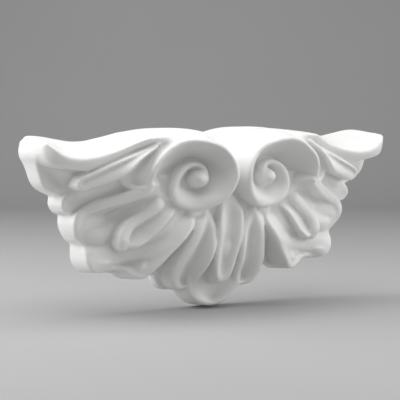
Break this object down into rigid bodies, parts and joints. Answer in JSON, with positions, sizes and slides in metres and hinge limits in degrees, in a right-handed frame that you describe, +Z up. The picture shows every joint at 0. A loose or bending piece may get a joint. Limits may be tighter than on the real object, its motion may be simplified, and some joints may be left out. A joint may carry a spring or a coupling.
{
  "type": "corbel",
  "caption": "Flat-backed cast wall ornament: scrolls side by side over a fan of acanthus leaves, flanked by upswept leaf tongues.",
  "frame": {"origin": "on the flat back, on the vertical centre line, 73 mm below the top of the scrolls", "axes": "+X along the corbel's width, +Y into the wall, +Z up; the carving faces -Y"},
  "size_m": [0.3855, 0.0891, 0.1785],
  "materials": {
    "primed white": "smooth white primer on a rigid foam casting"
  },
  "bodies": {
    "root": {"corbel": "primed white"}
  },
  "joints": []
}
